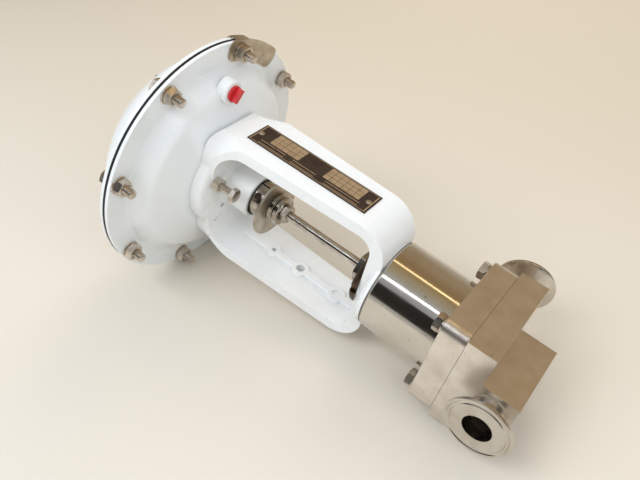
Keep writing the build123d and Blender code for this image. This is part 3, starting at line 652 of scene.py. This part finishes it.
def beadTree():
    # overlapping ripples laid round a circle, as a hand weld leaves
    tree, ins = newTree("weldBead", ("Radius", "Width", "Count"))
    ring = addNode(tree, "GeometryNodeCurvePrimitiveCircle", inputs={"Resolution": 180},
                   links={"Radius": ins["Radius"]})
    points = addNode(tree, "GeometryNodeCurveToPoints", links={
        "Curve": ring.outputs[0], "Count": ins["Count"]})
    drop = addNode(tree, "GeometryNodeMeshUVSphere", inputs={"Segments": 14, "Rings": 8},
                   links={"Radius": ins["Width"]})
    size = addNode(tree, "FunctionNodeRandomValue", {"data_type": "FLOAT"}, {"Seed": 4})
    size.inputs[2].default_value, size.inputs[3].default_value = 0.88, 1.08
    placed = addNode(tree, "GeometryNodeInstanceOnPoints", links={
        "Points": points.outputs[0], "Instance": drop.outputs[0], "Rotation": points.outputs["Rotation"],
        "Scale": size.outputs[1]})
    endTree(tree, placed.outputs[0], ins)
    return tree


trees = {"thread": threadTree(), "scatter": scatterTree(), "bead": beadTree()}


def addThread(work, low, high, radius, pitch, depth, centre=(0, 0)):
    sizes = {"Radius": radius, "Length": high - low, "Pitch": pitch, "Depth": depth}
    mesh = runTree(trees["thread"], sizes)
    mesh.transform(Matrix.Translation((centre[0], centre[1], low)))
    work.from_mesh(mesh)


def scatter(shape, points, spread, seed, finish):
    # shape is drawn at the origin, and points are where it goes
    piece = bpy.data.objects.new("one", meshOf(shape))
    start = bpy.data.meshes.new("points")
    start.from_pydata([tuple(p) for p in points], [], [])
    values = {"Piece": piece, "Spread": spread, "Seed": float(seed), "Finish": finish}
    mesh = runTree(trees["scatter"], values, start)
    bpy.data.objects.remove(piece)
    work = bmesh.new()
    work.from_mesh(mesh)
    return work


# ---- castings, bar stock and sheet: the CAD forms with broken edges ----

edgeBreaks = {
    "valve_body": 0.75, "bonnet_flange": 0.85, "bonnet_barrel": 0.4, "inlet_ferrule": 0.22,
    "outlet_ferrule": 0.22, "yoke_nut": 0.5, "tag": 0.22, "air_plug": 0.45, "gland_nut": 0.4,
    "nameplate": 0.15, "casing_washers": 0.25, "body_washers": 0.25, "lower_casing": 0.5,
    "upper_casing": 0.5, "vent_cap": 0.4}
for node, width in edgeBreaks.items():
    makePiece(node + "_finished", bevelled(node, width), finishOf(node), "frame", node, weigh=True)
print("edges are broken on", len(edgeBreaks), "pieces")

# ---- yoke casting: soft flared legs, window, long boss, rib and pads ----

def roundedOutline(corners, steps=10):
    # corners are (across, up, radius) in order
    points = []
    for k, (u, v, radius) in enumerate(corners):
        here = Vector((u, v))
        before, after = [Vector(corners[(k + d) % len(corners)][:2]) - here for d in (-1, 1)]
        before.normalize()
        after.normalize()
        if radius == 0:
            points.append(here)
            continue
        half = before.angle(after) / 2
        middle = here + (before + after).normalized() * radius / sin(half)
        start = here + before * radius / tan(half) - middle
        end = here + after * radius / tan(half) - middle
        for j in range(steps + 1):
            spoke = start.slerp(end, j / steps) if start.angle(end) > 0.001 else start
            points.append(middle + spoke.normalized() * radius)
    return points


def bothSides(half):
    # a half outline, listed upward on the plus side, completed on the minus side
    return half + [(-u, v, r) for u, v, r in reversed(half)]


# where an outline's two measures and its depth go, for a prism along X, Y and Z
prismOrder = {"X": lambda u, v, depth: (depth, u, v), "Y": lambda u, v, depth: (u, depth, v),
              "Z": lambda u, v, depth: (u, v, depth)}


def prism(outline, axis, start, end):
    work = bmesh.new()
    place = prismOrder[axis]
    joinRings(work, [[work.verts.new(place(u, v, depth)) for u, v in outline] for depth in (start, end)])
    bmesh.ops.recalc_face_normals(work, faces=work.faces)
    return meshOf(work)


def solid(profile, centre=(0, 0), across=False, at=(0, 0, 0)):
    # a turned solid along the stem, or along Y where across is set
    work = lathe(bmesh.new(), profile, centre, 64)
    if across:
        bmesh.ops.rotate(work, verts=work.verts, matrix=Matrix.Rotation(radians(90), 3, "X"))
    bmesh.ops.translate(work, verts=work.verts, vec=at)
    bmesh.ops.recalc_face_normals(work, faces=work.faces)
    return meshOf(work)


def combine(first, second, operation):
    other = bpy.data.objects.new("other", second)
    bpy.context.scene.collection.objects.link(other)

    def setUp(loose):
        cut = loose.modifiers.new("cut", "BOOLEAN")
        cut.operation = operation
        cut.solver = "EXACT"
        cut.object = other

    result = evaluated(first, setUp)
    bpy.data.objects.remove(other)
    return result


yokeForm = {
    "low": 80.9, "high": 251.5, "halfHeight": 60.0, "outerRound": 27.0, "padRound": 12.0, "leg": 10.0,
    "lowWeb": 12.2, "endWeb": 13.5, "halfLow": 23.2, "halfMid": 28.6, "halfHigh": 34.0, "flareDrop": 34.0,
    "flareRound": 60.0, "edge": 5.0, "windowEdge": 3.0, "windowLow": 13.0, "windowHigh": 24.0,
    "neckBore": 20.5, "stemBore": 12.1, "webHole": 2.3, "webHoles": ((25.2, -29.2), (17.8, -17.3)),
    # plan of the leg ends: height and corner round
    "sweep": ((70.0, 1.0), (196.0, 1.0), (206.0, 3.0), (216.0, 8.0), (226.0, 15.0), (236.0, 22.0),
              (245.0, 26.0), (260.0, 28.0)), "sweepMargin": 0.3,
    # how far the legs' and the window's cutting shapes reach along the run
    "reach": 80.0, "cutReach": 90.0,
    # rib in the lower leg: pad heights, pad radii and hole radii, the last a dimple
    "ribHalf": 4.0, "ribHeight": 3.0, "pads": ((107.5, 6.5, 2.1), (77.3, 7.8, 4.0), (37.7, 8.0, 4.2)),
    "padFoot": 0.6, "dimple": 1.2,
    # turned profiles as radius and rise: base from the bonnet, pad from the upper web
    "base": ((21.0, 0.0), (37.6, 0.0), (37.6, 2.5), (35.1, 5.0), (21.0, 7.0)),
    "pad": ((33.0, 1.0), (40.6, 1.0), (43.6, 2.2), (45.2, 4.0), (45.6, 6.0), (45.6, 13.0), (45.2, 13.5),
            (33.0, 13.5)),
    "bossOuter": 20.2, "bossBore": 17.3, "bossLow": 211.6}


def endTrim(form):
    # the leg ends sweep round towards the casing, so the casting's plan gets rounder corners there
    rings, work = [], bmesh.new()
    wide, tall = form["halfHigh"] + form["sweepMargin"], form["halfHeight"] + form["sweepMargin"]
    for z, corner in form["sweep"]:
        corners = [(x, y, corner) for x, y in ((wide, -tall), (wide, tall), (-wide, tall), (-wide, -tall))]
        rings.append([work.verts.new((p.x, p.y, z)) for p in roundedOutline(corners)])
    joinRings(work, rings)
    bmesh.ops.recalc_face_normals(work, faces=work.faces)
    return meshOf(work)


def yokeFrame(form, webLow, webHigh, inner):
    # two legs and two webs with soft edges
    low, high, half, reach = form["low"], form["high"], form["halfHeight"], form["reach"]
    side = roundedOutline(bothSides([(half, low, form["outerRound"]), (half, high, form["padRound"])]))
    flare = roundedOutline(bothSides([
        (form["halfLow"], low - 1, 0), (form["halfMid"], high - form["flareDrop"], form["flareRound"]),
        (form["halfHigh"], webHigh, form["flareRound"]), (form["halfHigh"] + 1, high + 1, 0)]), 8)
    window = roundedOutline(bothSides([
        (inner, webLow, form["windowLow"]), (inner, webHigh, form["windowHigh"])]))
    casting = combine(prism(side, "X", -reach, reach), prism(flare, "Y", -2 * half, 2 * half), "INTERSECT")
    casting = combine(casting, endTrim(form), "INTERSECT")
    casting = roundEdges(casting, form["edge"], 5, 50)
    casting = combine(casting, prism(window, "X", -form["cutReach"], form["cutReach"]), "DIFFERENCE")
    return roundEdges(casting, form["windowEdge"], 4, 50)


def yokeRib(form, webLow, webHigh, inner):
    # raised rib with a pad at each hole: what is added and what is cut
    rib, tall, foot = form["ribHalf"], form["ribHeight"], form["padFoot"]
    half = [(rib, -inner - 1), (rib, -inner + tall - 1), (rib - 1, -inner + tall)]
    adds = [prism(half + [(-x, y) for x, y in reversed(half)], "Z", webLow - 1, webHigh + 1)]
    cuts = []
    for place, radius, hole in form["pads"]:
        spot = (0, -inner + tall, form["low"] + place)
        profile = [(radius + foot, tall + 1), (radius + foot, tall), (radius, foot), (radius - foot, 0)]
        adds.append(solid(profile, across=True, at=spot))
        reach = form["dimple"] if place == form["pads"][-1][0] else 3 * form["leg"]
        cuts.append(solid([(hole, -2), (hole, reach)], across=True, at=spot))
    return adds, cuts


def makeYoke():
    form = yokeForm
    low, high, inner = form["low"], form["high"], form["halfHeight"] - form["leg"]
    webLow, webHigh = low + form["lowWeb"], high - form["endWeb"]
    casting = yokeFrame(form, webLow, webHigh, inner)
    adds, cuts = yokeRib(form, webLow, webHigh, inner)
    cuts.append(solid([(form["stemBore"], webHigh - 2), (form["stemBore"], high + 1)]))
    cuts.append(solid([(form["neckBore"], low - 1), (form["neckBore"], webLow + 1)]))
    for place in form["webHoles"]:
        cuts.append(solid([(form["webHole"], webHigh - 3), (form["webHole"], webHigh + 10)], place))
    for piece in adds:
        casting = combine(casting, piece, "UNION")
    for piece in cuts:
        casting = combine(casting, piece, "DIFFERENCE")
    done = bmesh.new()
    done.from_mesh(casting)
    bmesh.ops.remove_doubles(done, verts=done.verts, dist=0.002)
    outer, bore, start = form["bossOuter"], form["bossBore"], form["bossLow"]
    for foot, profile in ((low, form["base"]), (webHigh, form["pad"])):
        lathe(done, [(radius, foot + rise) for radius, rise in profile], steps=120, closed=True)
    # long hollow boss, with a small fillet at the web
    lathe(done, [(bore + 0.5, start), (outer - 1.2, start), (outer - 0.4, start + 0.4), (outer, start + 1.2),
                 (outer, webHigh - 3), (outer + 0.7, webHigh - 1.2), (outer + 2.4, webHigh),
                 (outer + 2.4, webHigh + 1), (bore, webHigh + 1), (bore, start + 0.6)], steps=96, closed=True)
    makePiece("yokeCasting", done, finishOf("yoke"), "frame", "yoke", smooth=30.0, weigh=True)


makeYoke()
print("the yoke is cast")

# ---- clamp sleeve, collar and ring nuts on the stem ----

sleeveForm = {"radius": 16.0, "low": 201.0, "high": 221.0, "bore": 8.2, "slotAngle": 84.0, "slot": 1.4,
              "screwAngle": 43.7, "screwHeight": 206.7, "screwHole": 3.0, "grooves": (213.0, 216.5),
              "grooveDepth": 0.35}


def clampSleeve():
    form = sleeveForm
    outer, low, high, bore = form["radius"], form["low"], form["high"], form["bore"]
    profile = [(bore, low), (outer - 0.9, low), (outer - 0.2, low + 0.3), (outer, low + 0.9)]
    for z in form["grooves"]:
        profile += [(outer, z - 0.4), (outer - form["grooveDepth"], z), (outer, z + 0.4)]
    profile += [(outer, high - 1.2), (outer - 1.2, high), (bore, high)]
    sleeve = lathe(bmesh.new(), profile, steps=120, closed=True)
    bmesh.ops.recalc_face_normals(sleeve, faces=sleeve.faces)
    half = form["slot"] / 2
    slot = prism([(-half, low - 1), (half, low - 1), (half, high + 1), (-half, high + 1)], "Y", -outer, outer)
    slot.transform(Matrix.Rotation(radians(form["slotAngle"] - 90), 4, "Z") @
                   Matrix.Translation((0, outer + 2, 0)))
    mesh = combine(meshOf(sleeve), slot, "DIFFERENCE")
    turn = Matrix.Rotation(radians(form["screwAngle"] - 90), 4, "Z") @ \
        Matrix.Translation((0, outer, form["screwHeight"]))
    hole = solid([(form["screwHole"], -4.5), (form["screwHole"], 4.5)], across=True)
    hole.transform(turn)
    done = bmesh.new()
    done.from_mesh(combine(mesh, hole, "DIFFERENCE"))
    makePiece("clampSleeve", done, finishOf("stem_connector"), "stem", "stem_connector", smooth=28.0,
              weigh=True)
    # socket screw sunk in the sleeve
    wide = form["screwHole"] - 0.15
    profile = [(1.3, 2.4), (1.3, 1.35), (wide - 0.3, 1.25), (wide, 1.55), (wide, 4.2)]
    screw = lathe(bmesh.new(), profile, steps=36)
    bmesh.ops.rotate(screw, verts=screw.verts, matrix=Matrix.Rotation(radians(90), 3, "X"))
    screw.transform(turn)
    makePiece("clampScrewSunk", screw, finishes["oxide"], "stem", "connector_screw")


discForm = {"collar": 14.0, "low": 197.3, "ribs": 3, "disc": 27.1, "discLow": 195.4, "bore": 9.0,
            "edge": 0.35}


def collarAndDisc():
    # collar with round ribs, and the indicator disc under it
    form, bore = discForm, sleeveForm["bore"]
    base, top, collar = form["low"], sleeveForm["low"], form["collar"]
    step = (top - base) / form["ribs"]
    profile = [(bore, base)]
    for k in range(form["ribs"]):
        start = base + k * step
        profile += [(collar - 0.7, start), (collar - 0.15, start + step * 0.22), (collar, start + step * 0.5),
                    (collar - 0.15, start + step * 0.78)]
    profile += [(collar - 0.7, top), (bore, top)]
    ribbed = lathe(bmesh.new(), profile, steps=96, closed=True)
    makePiece("ribbedCollar", ribbed, finishOf("adjusting_collar"), "stem", "adjusting_collar")
    disc, under, edge, hole = form["disc"], form["discLow"], form["edge"], form["bore"]
    profile = [(hole, under), (disc - edge, under), (disc, under + edge), (disc, base - edge),
               (disc - edge, base), (hole, base)]
    plate = lathe(bmesh.new(), profile, steps=128, closed=True)
    makePiece("indicatorPlate", plate, finishOf("indicator_disc"), "stem", "indicator_disc", weigh=True)


nutForm = {"lows": (186.2, 191.0), "height": 4.2, "radius": 13.0, "bore": 4.15, "jamAcross": 14.0,
           "jamLow": 180.0, "jamHigh": 186.0, "jamTurn": 0.4, "threadLow": 160.0, "threadRadius": 4.18,
           "pitch": 1.0, "threadDepth": 0.32,
           # rise and step back of the ring nuts' grooved rim
           "rim": ((0.0, -0.9), (0.7, 0.0), (1.4, -0.45), (2.1, 0.0), (2.8, -0.45), (3.5, 0.0), (4.2, -0.9))}


def nutsAndThread():
    # two ring nuts against the disc, a jam nut, and the thread that they run on
    form, bore = nutForm, nutForm["bore"]
    work = bmesh.new()
    for start in form["lows"]:
        rim = [(form["radius"] + back, start + rise) for rise, back in form["rim"]]
        lathe(work, [(bore, start)] + rim + [(bore, start + form["height"])], steps=96, closed=True)
    makePiece("ringNutPair", work, finishOf("ring_nuts"), "stem", "ring_nuts")
    across, low, high = form["jamAcross"], form["jamLow"], form["jamHigh"]
    flat = across * cornerShare
    work = lathe(bmesh.new(), [(bore, low), (flat, low), (across, low, -1), (across, high, 1), (flat, high),
                               (bore, high)], steps=60, turn=form["jamTurn"], closed=True)
    makePiece("jamNutChamfered", work, finishOf("jam_nut"), "stem", "jam_nut")
    work = bmesh.new()
    addThread(work, form["threadLow"], low + 1, form["threadRadius"], form["pitch"], form["threadDepth"])
    makePiece("stemThread", work, finishOf("valve_stem"), "stem")


clampSleeve()
collarAndDisc()
nutsAndThread()
print("the stem stack is made")

# ---- fasteners ----

boltForm = {"radius": 3.95, "pitch": 1.25, "depth": 0.42, "acrossFlats": 13.0, "headHeight": 5.5,
            "pointLength": 0.9, "nutEase": 0.1, "bore": 4.0, "lead": (1.2, 0.7)}
stopForm = {"radius": 3.15, "pitch": 1.0, "depth": 0.36, "acrossFlats": 11.0, "headHeight": 4.6, "bore": 3.2,
            "lead": (1.0, 0.6), "headTurn": 0.3, "nutTurn": 0.7}


def hexagonHead(work, across, low, high, centre=(0, 0), turn=0.0):
    flat = across * cornerShare
    lathe(work, [(flat, low), (across, low, -1), (across, high, 1), (flat, high)], centre, turn=turn)


def hexagonNut(work, across, bore, lead, low, high, centre=(0, 0), turn=0.0):
    # lead is how deep and how wide the thread's countersink is on the low side
    deep, wide = lead
    flat = across * cornerShare
    lathe(work, [(bore, low + deep), (bore + wide, low), (flat, low), (across, low, -1), (across, high, 1),
                 (flat, high), (bore, high)], centre, 60, turn)


def setFasteners(name, node, shapeOf, seed):
    # the shape is drawn once over the node's own height and set at each of its places
    spans = islandsOf(node)
    shape = shapeOf(spans[0][0].z, spans[0][1].z)
    points = [((a.x + b.x) / 2, (a.y + b.y) / 2, 0) for a, b in spans]
    makePiece(name, scatter(shape, points, 1.0, seed, finishOf(node)), finishOf(node), "frame", node)


def boltShape(low, high):
    # hexagon head on top, and a rolled thread down to a bevelled point
    work = bmesh.new()
    radius, shoulder, point = boltForm["radius"], high - boltForm["headHeight"], boltForm["pointLength"]
    hexagonHead(work, boltForm["acrossFlats"], shoulder, high)
    addThread(work, low + point, shoulder + 0.2, radius, boltForm["pitch"], boltForm["depth"])
    lathe(work, [(radius * 0.62, low), (radius * 0.9, low + point + 0.1)])
    return work


def nutShape(low, high):
    form, work = boltForm, bmesh.new()
    hexagonNut(work, form["acrossFlats"] - form["nutEase"], form["bore"], form["lead"], low, high)
    return work


def stopScrew():
    low, high = spanOf("travel_stop_screw")
    centre = ((low.x + high.x) / 2, (low.y + high.y) / 2)
    across, top = stopForm["acrossFlats"], low.z + stopForm["headHeight"]
    work = bmesh.new()
    hexagonHead(work, across, low.z, top, centre, stopForm["headTurn"])
    addThread(work, top - 0.2, high.z, stopForm["radius"], stopForm["pitch"], stopForm["depth"], centre)
    makePiece("stopScrewThreaded", work, finishOf("travel_stop_screw"), "frame", "travel_stop_screw")
    below, above = spanOf("travel_stop_nut")
    work = bmesh.new()
    hexagonNut(work, across, stopForm["bore"], stopForm["lead"], below.z, above.z, centre, stopForm["nutTurn"])
    makePiece("stopNutChamfered", work, finishOf("travel_stop_nut"), "frame", "travel_stop_nut")


def rivets():
    spans = islandsOf("nameplate_rivets")
    radius = (spans[0][1].x - spans[0][0].x) / 2
    base, top = spans[0][0].y, spans[0][1].y
    rise = top - base
    dome = [radians(angle) for angle in (12, 28, 46, 64, 80)]
    shape = lathe(bmesh.new(), [(radius, 0)] + [(radius * cos(a), rise * sin(a)) for a in dome], steps=24)
    bmesh.ops.rotate(shape, verts=shape.verts, matrix=Matrix.Rotation(radians(-90), 3, "X"))
    points = [((a.x + b.x) / 2, base, (a.z + b.z) / 2) for a, b in spans]
    work = scatter(shape, points, 0.0, 2, finishOf("nameplate_rivets"))
    makePiece("nameplateRivetSet", work, finishOf("nameplate_rivets"), "frame", "nameplate_rivets")


setFasteners("casingBoltSet", "casing_bolts", boltShape, seed=3)
setFasteners("casingNutSet", "casing_nuts", nutShape, seed=11)
setFasteners("bodyBoltSet", "body_bolts", boltShape, seed=7)
stopScrew()
rivets()
print("fasteners are made")

# ---- actuator spring: the CAD coil copied into a piece with a mesh of its own ----

def actuatorSpring():
    coil = mergedCopy("actuator_spring")
    piece = makePiece("springCoil", coil, finishOf("actuator_spring"), "frame", "actuator_spring")
    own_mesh(piece)


actuatorSpring()

# ---- nameplate fields: bare ruled boxes, no lettering ----

# places are shares of the plate: along it from the actuator end, and across it from the outlet side
plateForm = {"lift": 0.04, "thick": 0.05, "rule": 0.32, "boxes": ((0.14, 0.39, 5), (0.6, 0.9, 6)),
             "columns": ((0.08, 0.27), (0.285, 0.46), (0.475, 0.66)),
             "lineEnds": ((0.08, 0.3), (0.36, 0.56), (0.64, 0.92)), "lines": (0.74, 0.88), "lineWidth": 0.025,
             "border": ((0.012, 0.02, 0.04, 0.96), (0.98, 0.988, 0.04, 0.96), (0.012, 0.988, 0.035, 0.055),
                        (0.012, 0.988, 0.945, 0.965))}


def plateFields():
    form = plateForm
    low, high = spanOf("nameplate")
    length, width = high.z - low.z, high.x - low.x
    top = high.y + form["lift"]
    work = bmesh.new()

    def strip(left, right, below, above):
        box = bmesh.ops.create_cube(work, size=1.0)["verts"]
        for v in box:
            v.co.x = low.x + (left if v.co.x < 0 else right) * width
            v.co.y = top - form["thick"] if v.co.y < 0 else top
            v.co.z = below if v.co.z < 0 else above

    for start, end, rows in form["boxes"]:
        above, below = high.z - start * length, high.z - end * length
        pitch, edge = (above - below) / rows, form["rule"] / 2
        for k in range(rows):
            for left, right in form["columns"]:
                strip(left, right, below + k * pitch + edge, below + (k + 1) * pitch - edge)
    bars = [(start, end, line, line + form["lineWidth"])
            for start, end in form["lineEnds"] for line in form["lines"]]
    for start, end, left, right in bars + list(form["border"]):
        strip(left, right, high.z - end * length, high.z - start * length)
    makePiece("nameplateFields", work, finishes["plateField"], "frame")


plateFields()
print("the nameplate is ruled")

# ---- weld bead where the inlet tube meets the block ----

beadForm = {"radius": 12.9, "width": 0.85, "count": 74, "proud": 0.4}


def weldBead():
    low, high = spanOf("inlet_ferrule")
    mesh = runTree(trees["bead"], {"Radius": beadForm["radius"], "Width": beadForm["width"],
                                   "Count": beadForm["count"], "Finish": finishes["fastener"]})
    middle = (low.x + beadForm["proud"], (low.y + high.y) / 2, (low.z + high.z) / 2)
    mesh.transform(Matrix.Translation(middle) @ Matrix.Rotation(radians(90), 4, "Y"))
    work = bmesh.new()
    work.from_mesh(mesh)
    makePiece("inletWeldBead", work, finishes["fastener"], "frame")


weldBead()
print("the weld bead is laid")
